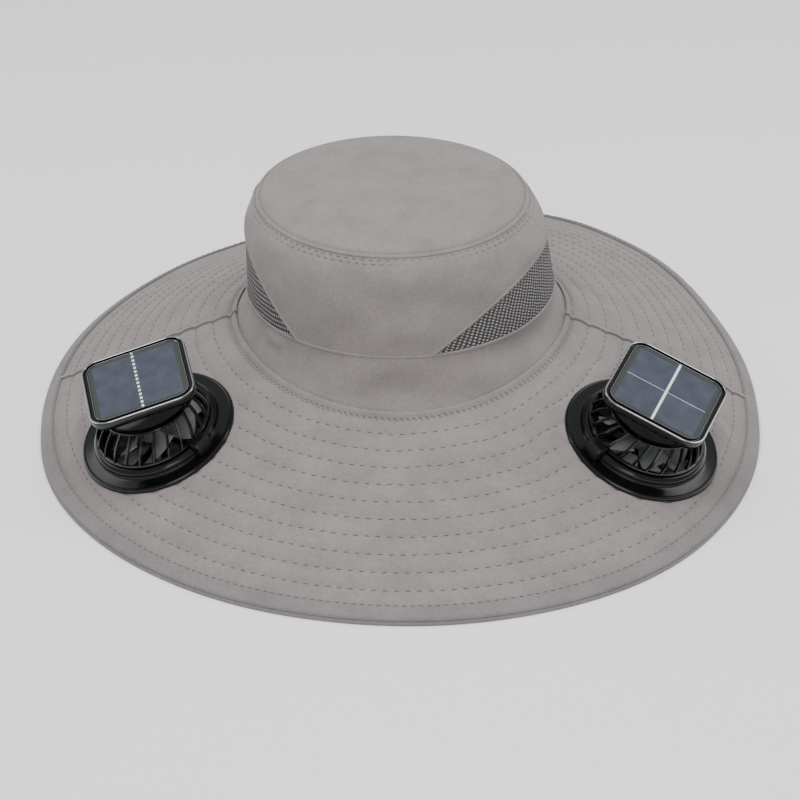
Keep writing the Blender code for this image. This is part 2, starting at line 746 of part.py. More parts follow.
def main():
    clear_scene()
    cloth = material("woven_cloth", CLOTH_GREY, 0.9)
    net = material("knitted_net", NET_GREY, 0.8)
    black = material("gloss_black_plastic", BLACK, 0.2)
    blade_grey = material("grey_plastic", BLADE_GREY, 0.4)
    glass = material("solar_cell", CELL_BLUE, 0.15)
    make_brim(cloth)
    make_hem(cloth)
    make_band(cloth)
    front = CROWN_TURN - 90.0
    make_crown_panel("crown_front", front, cloth)
    make_crown_panel("crown_back", front + 180.0, cloth)
    make_vent("vent_right", front + 90.0, net)
    make_vent("vent_left", front - 90.0, net)
    make_crown_top(cloth)
    for fan in FANS:
        make_fan(fan, black, blade_grey, glass)
    stand_on_middle()


main()
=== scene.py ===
"""Looks of the solar fan hat: stitched cloth, knitted vents, and two fans with solar panels.

Metres, +Z up, the front of the brim towards -Y, resting on the floor. Directions are in degrees
anticlockwise from +X. Every new piece is a surface or tube computed from named sizes.
"""

import math

import bmesh
import bpy
import numpy as np
from mathutils import Matrix


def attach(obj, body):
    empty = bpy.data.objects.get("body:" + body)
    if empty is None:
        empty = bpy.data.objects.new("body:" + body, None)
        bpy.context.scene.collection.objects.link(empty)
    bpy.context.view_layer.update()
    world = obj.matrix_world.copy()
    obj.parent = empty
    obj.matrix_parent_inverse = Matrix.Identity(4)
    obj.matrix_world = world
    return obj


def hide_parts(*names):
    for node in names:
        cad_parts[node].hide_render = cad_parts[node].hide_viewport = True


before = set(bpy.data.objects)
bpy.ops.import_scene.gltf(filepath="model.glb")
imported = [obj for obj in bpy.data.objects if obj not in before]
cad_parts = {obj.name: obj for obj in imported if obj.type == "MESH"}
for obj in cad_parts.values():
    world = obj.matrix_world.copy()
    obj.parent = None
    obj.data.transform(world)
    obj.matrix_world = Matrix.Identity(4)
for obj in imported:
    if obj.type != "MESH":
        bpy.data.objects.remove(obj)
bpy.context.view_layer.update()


# Camera, floor and light.
# The camera looks from the front, 29 degrees above the floor, with a long lens. The floor is
# plain and pale, and the light comes from wide soft boxes above and beside the hat.
CAMERA_TARGET = np.array([0.00006, -0.01365, 0.0024])
CAMERA_DISTANCE = 1.5
CAMERA_SLOPE = 29.0
CAMERA_ROLL = -1.19
CAMERA_LENS = 125.8


def linear(colour):
    """An sRGB hex colour as linear RGBA: c / 12.92 up to 0.04045, else ((c + 0.055) / 1.055) ** 2.4."""
    shares = [int(colour[i : i + 2], 16) / 255.0 for i in (0, 2, 4)]
    return [s / 12.92 if s <= 0.04045 else ((s + 0.055) / 1.055) ** 2.4 for s in shares] + [1.0]


def add(tree, kind, settings, inputs):
    """Adds one node. A socket given as an input is linked, and any other value is set."""
    node = tree.nodes.new(kind)
    for key, value in settings.items():
        setattr(node, key, value)
    for key, value in inputs.items():
        if isinstance(value, bpy.types.NodeSocket):
            tree.links.new(value, node.inputs[key])
        else:
            node.inputs[key].default_value = value
    return node


def new_material(name, inputs):
    """A material with these values set on its shader, and the parts needed to go on with it."""
    made = bpy.data.materials.new(name)
    made.use_nodes = True
    shader = made.node_tree.nodes["Principled BSDF"]
    for key, value in inputs.items():
        shader.inputs[key].default_value = value
    return made, made.node_tree, shader


def mixed(tree, share, first, second):
    """The colour that goes from first to second as the share goes from 0 to 1."""
    return add(tree, "ShaderNodeMix", {"data_type": "RGBA"}, {0: share, 6: first, 7: second}).outputs[2]


def put_camera():
    slope = math.radians(CAMERA_SLOPE)
    roll = math.radians(CAMERA_ROLL)
    ahead = np.array([0.0, math.cos(slope), -math.sin(slope)])
    right = np.array([1.0, 0.0, 0.0])
    up = np.cross(right, ahead)
    turned_right = right * math.cos(roll) + up * math.sin(roll)
    turned_up = up * math.cos(roll) - right * math.sin(roll)
    place = CAMERA_TARGET - ahead * CAMERA_DISTANCE
    camera = bpy.data.objects.new("camera", bpy.data.cameras.new("camera"))
    camera.data.sensor_width = 36.0
    camera.data.lens = CAMERA_LENS
    columns = np.stack([turned_right, turned_up, -ahead, place], -1)
    camera.matrix_world = Matrix(np.concatenate([columns, [[0.0, 0.0, 0.0, 1.0]]]).tolist())
    bpy.context.scene.collection.objects.link(camera)
    bpy.context.scene.camera = camera


def put_light(name, place, size, power, in_reflections):
    """A square soft box at this place, facing the hat."""
    data = bpy.data.lights.new(name, "AREA")
    data.shape = "SQUARE"
    data.size = size
    data.energy = power
    light = bpy.data.objects.new(name, data)
    middle = Matrix.Translation((0.0, 0.0, 0.03)).translation
    ahead = (middle - Matrix.Translation(place).translation).normalized()
    light.rotation_mode = "QUATERNION"
    light.rotation_quaternion = ahead.to_track_quat("-Z", "Y")
    light.location = place
    light.visible_glossy = in_reflections
    bpy.context.scene.collection.objects.link(light)


def put_floor():
    """A wide plain square just under the hat."""
    mesh = bpy.data.meshes.new("floor")
    mesh.from_pydata([(x, y, 0.0) for x, y in ((-6, -6), (6, -6), (6, 6), (-6, 6))], [], [(0, 1, 2, 3)])
    paint, _, _ = new_material("matt_white_paint", {"Base Color": linear("F7F7F6"), "Roughness": 0.9})
    mesh.materials.append(paint)
    floor = bpy.data.objects.new("floor", mesh)
    bpy.context.scene.collection.objects.link(floor)


put_camera()
put_floor()
put_light("box_above", (0.0, -0.35, 1.7), 1.8, 44.0, False)
put_light("box_left", (-1.5, 0.5, 1.0), 0.9, 4.0, True)
put_light("box_right", (1.5, 0.3, 1.0), 0.9, 5.5, True)
put_light("box_front", (0.0, -1.9, 0.9), 1.0, 7.0, True)
world = bpy.data.worlds.new("room")
world.use_nodes = True
world.node_tree.nodes["Background"].inputs["Color"].default_value = (0.80, 0.82, 0.84, 1.0)
world.node_tree.nodes["Background"].inputs["Strength"].default_value = 0.50
bpy.context.scene.world = world


# Brim.
# Two halves of grey woven cloth joined at the sides, each stitched through in ten wide rows and
# two close ones beside the crown. The cloth sinks along each row and lies flat under the fans.
HAT_PLACE = np.array([0.001762, -0.006248, 0.0])
CLOTH = 0.0020
HEAD_HALF_WIDTH = 0.0867
HEAD_HALF_LENGTH = 0.0950
HEAD_SEAM_HEIGHT = 0.0500
HEAD_SEAM_SADDLE = 0.0056
BRIM_HALF_WIDTH = 0.1930
BRIM_FRONT = 0.2235
BRIM_BACK = 0.2360
BRIM_ARCH = 0.0030
BRIM_EDGE_INSET = 0.0013
BRIM_EDGE_HEIGHT = 0.0033
SEAT_SINK = 0.0004
SEAT_FLAT = 0.0500
SEAT_FADE = 0.0640
HEM_START = 0.93
HEM_EASE = 0.09
DUCT_RADIUS = 0.0300
WIDE_ROWS = 10
ROW_GROOVE = 0.0008
ROW_GROOVE_WIDTH = 0.0018
# Bulges of the brim's edge: direction, spread, share of its reach, share of the head seam's height
EDGE_WAVES = (
    (-51, 22, 0.025, 0),
    (-4, 16, -0.022, 0),
    (50, 20, 0.004, 0.12),
    (135, 24, -0.042, 0),
    (-142, 16, 0.012, 0),
)
# Smaller bulges of the slack cloth, which leave the fans where they are
SLACK_WAVES = (
    (-158, 14, 0.0145),
    (-101, 16, -0.0075),
    (-33, 30, 0.0082),
    (18, 15, -0.0198),
    (48, 9, -0.0122),
    (118, 12, -0.033),
)
# Side seams of the brim: direction at the crown and at the edge
RIGHT_SEAM = (-9.0, -6.0)
LEFT_SEAM = (183.0, 176.0)
# Fans: direction and share of the reach; slope and heading of seat and head; turn of the panel; latch
FANS = {
    "left": (-149.5, 0.540, 23.0, 222.0, 16.5, 214.0, 9.0, -45.0),
    "right": (-36.0, 0.560, 24.3, -41.0, 23.5, -39.0, -19.0, -140.0),
}


def fade(distance, near, far):
    """1 up to near, 0 from far on, and the smooth step s * s * (3 - 2 s) between."""
    share = np.clip((far - distance) / (far - near), 0.0, 1.0)
    return share * share * (3.0 - 2.0 * share)


def outward(angle):
    """The level unit vector in this direction: (cos a, sin a, 0)."""
    turn = np.radians(angle)
    return np.stack([np.cos(turn), np.sin(turn), 0.0 * turn], -1)


def head_seam(angle):
    """The oval where crown and brim meet: (w cos a, l sin a, h + saddle cos 2a)."""
    turn = np.radians(angle)
    height = HEAD_SEAM_HEIGHT + HEAD_SEAM_SADDLE * np.cos(2.0 * turn)
    return HAT_PLACE + np.stack([HEAD_HALF_WIDTH * np.cos(turn), HEAD_HALF_LENGTH * np.sin(turn), height], -1)


def edge_wave(angle, part, waves=EDGE_WAVES):
    """The sum of the edge's bulges in this direction, each amount * exp(-(off / spread) ** 2)."""
    total = 0.0 * angle
    for wave in waves:
        off = (angle - wave[0] + 180.0) % 360.0 - 180.0
        total = total + wave[part] * np.exp(-((off / wave[1]) ** 2))
    return total


def brim_edge(angle, slack=1.0):
    """The cloth's edge: two half ovals (w cos a, l sin a) times 1 + bulge, just above the floor."""
    turn = np.radians(angle)
    swell = 1.0 + edge_wave(angle, 2) + slack * edge_wave(angle, 2, SLACK_WAVES)
    half_length = np.where(np.sin(turn) < 0.0, BRIM_FRONT, BRIM_BACK)
    across = (BRIM_HALF_WIDTH * swell - BRIM_EDGE_INSET) * np.cos(turn)
    along = (half_length * swell - BRIM_EDGE_INSET) * np.sin(turn)
    height = HEAD_SEAM_HEIGHT * edge_wave(angle, 3) + BRIM_EDGE_HEIGHT
    return HAT_PLACE + np.stack([across, along, height], -1)


def free_brim(angle, reach, slack=1.0):
    """Straight from the head seam to the edge, plus an arch of 4 * arch * r * (1 - r)."""
    share = np.asarray(reach)[..., None]
    inner = head_seam(angle) + outward(angle) * 0.0006
    arch = np.array([0.0, 0.0, 4.0 * BRIM_ARCH])
    return inner + (brim_edge(angle, slack) - inner) * share + arch * share * (1.0 - share)


def tilted_frame(place, slope, heading, spin=0.0):
    """A 4 x 4 frame at this place whose Z leans by slope towards heading, turned by spin about Z."""
    lean = math.radians(slope)
    axis = math.sin(lean) * outward(heading) + np.array([0.0, 0.0, math.cos(lean)])
    side = np.cross([0.0, 1.0, 0.0], axis)
    side = side / np.linalg.norm(side)
    ahead = np.cross(axis, side)
    c, s = math.cos(math.radians(spin)), math.sin(math.radians(spin))
    made = np.eye(4)
    made[:3, :3] = np.stack([side * c + ahead * s, ahead * c - side * s, axis], -1)
    made[:3, 3] = place
    return made


def fan_place(side):
    toward, reach = FANS[side][:2]
    return free_brim(np.array(toward), np.array(reach), 0.0) - np.array([0.0, 0.0, SEAT_SINK])


def seat_frame(side):
    return tilted_frame(fan_place(side), FANS[side][2], FANS[side][3])


def brim_surface(angle, reach):
    """The free brim, with its height pulled to each fan's seat plane by two smooth steps."""
    surface = free_brim(angle, reach)
    free_height = surface[..., 2].copy()
    for side in FANS:
        seat = seat_frame(side)
        off = surface - seat[:3, 3]
        rise = -(off[..., 0] * seat[0, 2] + off[..., 1] * seat[1, 2]) / seat[2, 2]
        near = np.sqrt(off[..., 0] ** 2 + off[..., 1] ** 2 + rise**2)
        pull = fade(near, SEAT_FLAT, SEAT_FADE) * fade(reach, HEM_START - HEM_EASE, HEM_START)
        surface[..., 2] += pull * (seat[2, 3] + rise - free_height)
    return surface


def wide_row(index):
    """Share of the reach where a wide row runs: evenly from 0.118, with a slight bow in the middle."""
    return 0.118 + 0.0843 * index + 0.016 * math.sin(math.pi * index / (WIDE_ROWS - 1))


STITCH_ROWS = [0.027, 0.037] + [wide_row(i) for i in range(WIDE_ROWS)]


def brim_cloth(angle, reach, from_seam, lap):
    """The brim with its grooves, its rolled inner edge, its soft waves and the lap of its seam.

    Each row sinks by groove * exp(-(d / width) ** 2); the inner edge stands up by a bell 1.8 mm
    from its start; the waves are a sum of three sines of direction and reach.
    """
    surface = brim_surface(angle, reach)
    length = np.linalg.norm(brim_edge(angle) - head_seam(angle), axis=-1)
    rise = 0.0 * reach
    for row in STITCH_ROWS:
        rise = rise - ROW_GROOVE * np.exp(-(((reach - row) * length / ROW_GROOVE_WIDTH) ** 2))
    rise = rise + 0.0010 * np.exp(-(((reach * length - 0.0018) / 0.0011) ** 2))
    from_fan = np.minimum(*[np.linalg.norm(surface - fan_place(s), axis=-1) for s in FANS])
    calm = 1.0 - fade(from_fan, 0.047, 0.062)
    waves = np.sin(np.radians(angle) * 13.0 + 5.0 * reach) * np.sin(3.0 * reach + 1.0)
    waves = waves + 0.7 * np.sin(np.radians(angle) * 29.0 + 2.0 * np.sin(9.0 * reach))
    waves = waves + 0.5 * np.sin(np.radians(angle) * 47.0 - 11.0 * reach)
    rise = rise + 0.00030 * waves * calm * np.minimum(1.0, 12.0 * reach) * (1.0 - reach)
    beside_lap = np.exp(-(((from_seam - 0.0042) / 0.0008) ** 2))
    rise = rise + lap * (0.0015 * fade(from_seam, 0.0028, 0.0034) - 0.0007 * beside_lap)
    surface[..., 2] += rise
    return surface


def brim_rows():
    """Shares of the reach, close together across each stitched row and the rolled inner edge."""
    step = np.array([-0.0022, -0.0014, -0.0008, -0.0003, 0.0003, 0.0008, 0.0014, 0.0022]) / 0.118
    near = np.concatenate([row + step for row in STITCH_ROWS[2:]])
    shares = np.concatenate([np.linspace(0.0, 0.055, 22), near, np.linspace(0.075, 1.0, 30)])
    return np.unique(np.round(shares[(shares >= 0.0) & (shares <= 1.0)], 5))


def walled(face, back, wraps=False, keep=None):
    """Points and faces of a closed wall between two grids, with edges round each cell left out."""
    rows, columns = face.shape[:2]
    index = np.arange(rows * columns).reshape(rows, columns)
    if wraps:
        index = np.concatenate([index, index[:, :1]], 1)
    keep = np.ones((index.shape[0] - 1, index.shape[1] - 1), bool) if keep is None else keep
    ring = [index[:-1, :-1], index[:-1, 1:], index[1:, 1:], index[1:, :-1]]
    other = rows * columns
    faces = [np.stack(ring, -1)[keep], np.stack(ring[::-1], -1)[keep] + other]
    around = np.pad(keep, 1)
    if wraps:
        around[:, 0], around[:, -1] = around[:, -2], around[:, 1]
    beside = [around[:-2, 1:-1], around[1:-1, 2:], around[2:, 1:-1], around[1:-1, :-2]]
    for side in range(4):
        open_edge = keep & ~beside[side]
        start, end = ring[side][open_edge], ring[(side + 1) % 4][open_edge]
        faces.append(np.stack([end, start, start + other, end + other], -1))
    return np.concatenate([face.reshape(-1, 3), back.reshape(-1, 3)]), faces


def piece(name, points, faces, finish, body="root", flat=None, replaces=(), sharp=40.0):
    """A closed piece of the hat: its mesh welded, its faces turned outward, its map in millimetres."""
    corners = np.concatenate([f.ravel() for f in faces])
    sizes = np.concatenate([np.full(len(f), f.shape[1]) for f in faces])
    mesh = bpy.data.meshes.new(name)
    mesh.vertices.add(len(points))
    mesh.vertices.foreach_set("co", np.asarray(points, np.float32).ravel())
    mesh.loops.add(len(corners))
    mesh.loops.foreach_set("vertex_index", corners.astype(np.int32))
    mesh.polygons.add(len(sizes))
    mesh.polygons.foreach_set("loop_start", (np.cumsum(sizes) - sizes).astype(np.int32))
    mesh.update(calc_edges=True)
    if flat is not None:
        layer = mesh.uv_layers.new(name="millimetres")
        layer.data.foreach_set("uv", np.asarray(flat, np.float32)[corners].ravel())
    shape = bmesh.new()
    shape.from_mesh(mesh)
    bmesh.ops.remove_doubles(shape, verts=shape.verts, dist=1e-7)
    bmesh.ops.recalc_face_normals(shape, faces=shape.faces)
    shape.to_mesh(mesh)
    shape.free()
    mesh.shade_smooth()
    mesh.set_sharp_from_angle(angle=math.radians(sharp))
    mesh.materials.append(finish)
    made = bpy.data.objects.new(name, mesh)
    bpy.context.scene.collection.objects.link(made)
    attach(made, body)
    if replaces:
        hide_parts(*replaces)
    return made


def walled_piece(name, points, faces, finish, flat, node):
    """A piece made by walled(): both grids share one map in millimetres."""
    piece(name, points, faces, finish, flat=np.concatenate([flat, flat]), replaces=[node])


def cloth_material(name, colour):
    """Matt woven polyester: crossed threads 1 mm apart, flecks 1.6 mm and cloudy wear 20 mm across."""
    settings = {"Roughness": 0.92, "Sheen Weight": 0.15, "Specular IOR Level": 0.25}
    made, tree, shader = new_material(name, settings)
    place = add(tree, "ShaderNodeTexCoord", {}, {}).outputs["Object"]
    flat = add(tree, "ShaderNodeUVMap", {"uv_map": "millimetres"}, {}).outputs["UV"]
    cloud = add(
        tree, "ShaderNodeTexNoise", {}, {"Vector": place, "Scale": 48.0, "Detail": 5.0, "Roughness": 0.62}
    ).outputs["Fac"]
    patch = add(
        tree, "ShaderNodeMapRange", {}, {"Value": cloud, "From Min": 0.3, "From Max": 0.7}
    ).outputs["Result"]
    threads = {"Vector": flat, "Scale": 0.32, "Distortion": 0.6}
    warp = add(tree, "ShaderNodeTexWave", {"bands_direction": "X"}, threads).outputs["Fac"]
    weft = add(tree, "ShaderNodeTexWave", {"bands_direction": "Y"}, threads).outputs["Fac"]
    weave = add(tree, "ShaderNodeMath", {"operation": "MULTIPLY"}, {0: warp, 1: weft})
    fleck = add(
        tree, "ShaderNodeTexNoise", {}, {"Vector": place, "Scale": 620.0, "Detail": 3.0}
    ).outputs["Fac"]
    base = linear(colour)
    darker = [c * 0.88 for c in base[:3]] + [1.0]
    lighter = [c * 1.10 for c in base[:3]] + [1.0]
    mottled = mixed(tree, patch, darker, lighter)
    grain = add(
        tree, "ShaderNodeMapRange", {},
        {"Value": fleck, "From Min": 0.25, "From Max": 0.75, "To Min": 0.90, "To Max": 1.10},
    ).outputs["Result"]
    tint = add(tree, "ShaderNodeVectorMath", {"operation": "SCALE"}, {0: mottled, "Scale": grain})
    tree.links.new(tint.outputs["Vector"], shader.inputs["Base Color"])
    bump = add(
        tree, "ShaderNodeBump", {}, {"Height": weave.outputs["Value"], "Distance": 0.0001, "Strength": 0.5}
    )
    tree.links.new(bump.outputs["Normal"], shader.inputs["Normal"])
    return made


CLOTH_GREY = cloth_material("grey_woven_polyester", "837D7B")
HEM_GREY = cloth_material("grey_woven_polyester_hem", "7A7575")


def make_brim_half(name, start, end, lap, node, holed):
    """Half of the brim, its columns closer together at both side seams, with the duct holes."""
    rows = brim_rows()
    beside_seams = [np.linspace(0.0, 0.03, 12), np.linspace(0.97, 1.0, 12)]
    shares = np.unique(np.concatenate([np.linspace(0.0, 1.0, 240)] + beside_seams))
    reach = rows[:, None] + 0.0 * shares[None, :]
    first = start[0] + (start[1] - start[0]) * reach
    turn = (end[0] + (end[1] - end[0]) * reach - first) % 360.0
    angle = first + turn * shares[None, :]
    radius = HEAD_HALF_WIDTH + (BRIM_HALF_WIDTH - HEAD_HALF_WIDTH) * reach
    from_seam = np.radians(turn) * np.minimum(shares, 1.0 - shares)[None, :] * radius
    face = brim_cloth(angle, reach, from_seam, lap)
    middle = 0.25 * (face[:-1, :-1] + face[1:, :-1] + face[:-1, 1:] + face[1:, 1:])
    keep = np.ones(middle.shape[:2], bool)
    if holed:
        for side in FANS:
            keep &= np.linalg.norm(middle - fan_place(side), axis=-1) > DUCT_RADIUS + 0.0012
    points, faces = walled(face, face - np.array([0.0, 0.0, CLOTH]), False, keep)
    flat = np.stack([np.radians(angle) * 150.0, reach * 115.0], -1).reshape(-1, 2)
    walled_piece(name, points, faces, CLOTH_GREY, flat, node)


make_brim_half("brim_front_cloth", LEFT_SEAM, RIGHT_SEAM, 0.0, "brim_front", True)
make_brim_half("brim_back_cloth", RIGHT_SEAM, LEFT_SEAM, 1.0, "brim_back", False)


# Hem.
# A strip of the same cloth folded over the brim's edge and stitched down. Its outer side shows
# the two folded layers, the lower one standing out a little.
HEM_TURNIN = 0.0070
# Section: share of the way in from the edge, distance out from the edge, height over the cloth's
# face, height over the floor; a height is one of the two last, and the other is None
HEM_SECTION = (
    (1.00, 0.0000, 0.0004, None),
    (0.96, 0.0000, 0.0012, None),
    (0.86, 0.0000, 0.0015, None),
    (0.50, 0.0000, 0.0014, None),
    (0.10, 0.0000, 0.0013, None),
    (0.00, 0.0006, 0.0009, None),
    (0.00, 0.0010, 0.0002, None),
    (0.00, 0.0009, -0.0006, None),
    (0.00, 0.0005, -0.0010, None),
    (0.00, 0.0010, -0.0014, None),
    (0.00, 0.0013, None, 0.0009),
    (0.00, 0.0012, None, 0.0002),
    (0.00, 0.0002, None, 0.0000),
    (0.30, 0.0000, -0.0030, None),
    (0.95, 0.0000, -0.0033, None),
    (1.00, 0.0000, -0.0022, None),
)


def hem_lines(angle):
    """The cloth's edge, and the unit directions up the brim and level outwards from it."""
    edge = brim_edge(angle)
    up_brim = brim_surface(angle, np.full(angle.shape, HEM_START)) - edge
    up_brim = up_brim / np.linalg.norm(up_brim, axis=-1)[..., None]
    level = -up_brim * np.array([1.0, 1.0, 0.0])
    return edge, up_brim, level / np.linalg.norm(level, axis=-1)[..., None]


def grid_faces(rows, columns, close_rows, close_columns):
    """Quads between neighbours of a grid of points, joined round where it closes on itself."""
    index = np.arange(rows * columns).reshape(rows, columns)
    index = np.concatenate([index, index[:1]]) if close_rows else index
    index = np.concatenate([index, index[:, :1]], 1) if close_columns else index
    return np.stack([index[:-1, :-1], index[:-1, 1:], index[1:, 1:], index[1:, :-1]], -1).reshape(-1, 4)


def make_hem():
    angle = np.linspace(0.0, 360.0, 640, endpoint=False)
    edge, up_brim, level = hem_lines(angle)
    floor = HEAD_SEAM_HEIGHT * edge_wave(angle, 3)
    rows = []
    for share, out, over_face, over_floor in HEM_SECTION:
        row = edge + up_brim * HEM_TURNIN * share + level * out
        if over_face is None:
            row[:, 2] = floor + over_floor
        else:
            row[:, 2] += over_face
        row[:, 2] = np.maximum(row[:, 2], floor)
        rows.append(row)
    face = np.stack(rows)
    flat = np.stack(np.broadcast_arrays(np.radians(angle) * 200.0, np.arange(len(rows))[:, None] * 1.2), -1)
    faces = [grid_faces(len(rows), len(angle), True, True)]
    points = face.reshape(-1, 3)
    flat = flat.reshape(-1, 2)
    piece("hem_fold", points, faces, HEM_GREY, flat=flat, replaces=["brim_hem"])


make_hem()


# Crown.
# A band, a front and a back panel and a domed top of the same cloth, with soft dents where the
# cloth hangs slack. Their seams are covered by the rolls made further down.
BAND_TOP_HALF_WIDTH = 0.0810
BAND_TOP_HALF_LENGTH = 0.0850
BAND_HEIGHT = 0.0200
TOP_HALF_WIDTH = 0.0692
TOP_HALF_LENGTH = 0.0728
WALL_HEIGHT = 0.0520
TOP_DOME = 0.0042
CROWN_LEAN = -0.0035
CROWN_SLUMP = 0.0025
CROWN_FRONT = -105.0
PANEL_HALF_ANGLE = 26.3
LEFT_VENT_HEIGHT = 0.740
RIGHT_VENT_HEIGHT = 0.585
VENT_EDGE_POWER = 2.1


def dents(points, depth):
    """Shallow dents: depth times a product of slow sines of place, turned three ways and added."""
    x, y, z = points[..., 0] * 1000.0, points[..., 1] * 1000.0, points[..., 2] * 1000.0
    total = np.sin(x / 17.0 + 1.3) * np.sin(z / 9.0 + 0.4)
    total = total + np.sin((x + y) / 23.0) * np.sin((z - 0.4 * x) / 13.0 + 2.0)
    return depth * (total + 0.6 * np.sin((y - x) / 11.0 + 0.7) * np.sin((z + 0.5 * y) / 7.0))


def band_surface(angle, down, inset=0.0):
    """From the vents' seam down to the brim: the oval widens by down ** 1.84, with a turned-out foot."""
    turn = np.radians(angle)
    flare = down**1.84
    width = BAND_TOP_HALF_WIDTH + (HEAD_HALF_WIDTH - BAND_TOP_HALF_WIDTH) * flare - inset
    length = BAND_TOP_HALF_LENGTH + (HEAD_HALF_LENGTH - BAND_TOP_HALF_LENGTH) * flare - inset
    top = HEAD_SEAM_HEIGHT + BAND_HEIGHT
    height = top + (head_seam(angle)[..., 2] - CLOTH - top) * down
    foot = outward(angle) * (0.0009 * down**8 + 0.0 * turn)[..., None]
    return HAT_PLACE + foot + np.stack([width * np.cos(turn), length * np.sin(turn), height + 0.0 * turn], -1)


def wall_surface(angle, height, inset=0.0):
    """The crown's side: the oval draws in by 0.34 h ** 1.15 + 0.66 h ** 8 of the way to the top's.

    Its right side slumps by slump * h * (1 + cos a) / 2.
    """
    turn = np.radians(angle)
    inward = 0.34 * height**1.15 + 0.66 * height**8
    width = BAND_TOP_HALF_WIDTH + (TOP_HALF_WIDTH - BAND_TOP_HALF_WIDTH) * inward - inset
    length = BAND_TOP_HALF_LENGTH + (TOP_HALF_LENGTH - BAND_TOP_HALF_LENGTH) * inward - inset
    slump = 0.5 * CROWN_SLUMP * (1.0 + np.cos(turn))
    level = HEAD_SEAM_HEIGHT + BAND_HEIGHT + (WALL_HEIGHT - slump) * height
    across = width * np.cos(turn) + CROWN_LEAN * height
    return HAT_PLACE + np.stack([across, length * np.sin(turn), level], -1)


def vent_edge(off_middle, tall):
    """Height of a vent's slanting edge: h (1 - (1 - s) ** p), s the share of the way to the side."""
    along = np.clip((np.abs(off_middle) - PANEL_HALF_ANGLE) / (90.0 - PANEL_HALF_ANGLE), 0.0, 1.0)
    return tall * (1.0 - (1.0 - along) ** VENT_EDGE_POWER)


def pressed(surface, angle, slack, depth):
    """The surface pushed in or out along its direction by its dents, times how slack it is there."""
    return surface + outward(angle) * (dents(surface, depth) * slack)[..., None]


def make_band():
    down = np.linspace(0.0, 1.0, 22)[:, None]
    angle = np.linspace(0.0, 360.0, 300, endpoint=False)[None, :] + 0.0 * down
    slack = np.sin(math.pi * down) + 0.0 * angle
    slack = slack - 2.0 * np.exp(-(((angle - 217.0) / 8.0) ** 2) - ((down - 0.35) / 0.20) ** 2)
    face = pressed(band_surface(angle, down), angle, slack, 0.0014)
    back = pressed(band_surface(angle, down, CLOTH), angle, slack, 0.0014)
    points, faces = walled(face, back, True)
    flat = np.stack([np.radians(angle) * 85.0, down * 25.0 + 0.0 * angle], -1).reshape(-1, 2)
    walled_piece("band_cloth", points, faces, CLOTH_GREY, flat, "crown_band")


def make_crown_panel(name, middle, node, before, after):
    """A side panel over two vents, whose heights are given for lower and higher directions."""
    off = np.linspace(-90.0, 90.0, 160)[None, :]
    share = np.linspace(0.0, 1.0, 50)[:, None]
    low = vent_edge(off, np.where(off < 0.0, before, after))
    height = low + (1.0 - low) * share
    angle = middle + off + 0.0 * share
    slack = np.sin(math.pi * np.clip(height, 0.0, 1.0)) * np.minimum(1.0, 4.0 * share)
    face = pressed(wall_surface(angle, height), angle, slack, 0.0011)
    back = pressed(wall_surface(angle, height, CLOTH), angle, slack, 0.0011)
    points, faces = walled(face, back)
    flat = np.stack([np.radians(angle) * 80.0, height * 52.0], -1).reshape(-1, 2)
    walled_piece(name, points, faces, CLOTH_GREY, flat, node)


def top_surface(angle, share):
    """The top: base + dome (1 - s ** 2.4) - 2.2 mm s ** 60 at its rim, the slump, and shallow dents."""
    turn = np.radians(angle)
    base = HEAD_SEAM_HEIGHT + BAND_HEIGHT + WALL_HEIGHT + 0.0019
    slump = 0.5 * CROWN_SLUMP * (1.0 + share * np.cos(turn))
    level = base + TOP_DOME * (1.0 - share**2.4) - 0.0022 * share**60 - slump
    across = CROWN_LEAN + TOP_HALF_WIDTH * share * np.cos(turn)
    surface = HAT_PLACE + np.stack([across, TOP_HALF_LENGTH * share * np.sin(turn), level], -1)
    x, y = surface[..., 0] * 1000.0, surface[..., 1] * 1000.0
    dent = np.sin(x / 15.0 + 0.5) * np.sin(y / 19.0)
    dent = dent + 0.7 * np.sin((x - y) / 12.0 + 1.0) * np.sin((x + 2.0 * y) / 21.0)
    surface[..., 2] += 0.00035 * dent * (1.0 - share**4)
    return surface


def make_crown_top():
    share = np.concatenate([np.linspace(0.0, 0.9, 34), np.linspace(0.92, 1.0, 12)])[:, None]
    angle = np.linspace(0.0, 360.0, 200, endpoint=False)[None, :] + 0.0 * share
    face = top_surface(angle, share + 0.0 * angle)
    points, faces = walled(face, face - np.array([0.0, 0.0, CLOTH]), True)
    flat = face[..., :2].reshape(-1, 2) * 1000.0
    walled_piece("top_cloth", points, faces, CLOTH_GREY, flat, "crown_top")


make_band()
make_crown_panel("front_panel_cloth", CROWN_FRONT, "crown_front", LEFT_VENT_HEIGHT, RIGHT_VENT_HEIGHT)
make_crown_panel("back_panel_cloth", CROWN_FRONT + 180.0, "crown_back", RIGHT_VENT_HEIGHT, LEFT_VENT_HEIGHT)
make_crown_top()


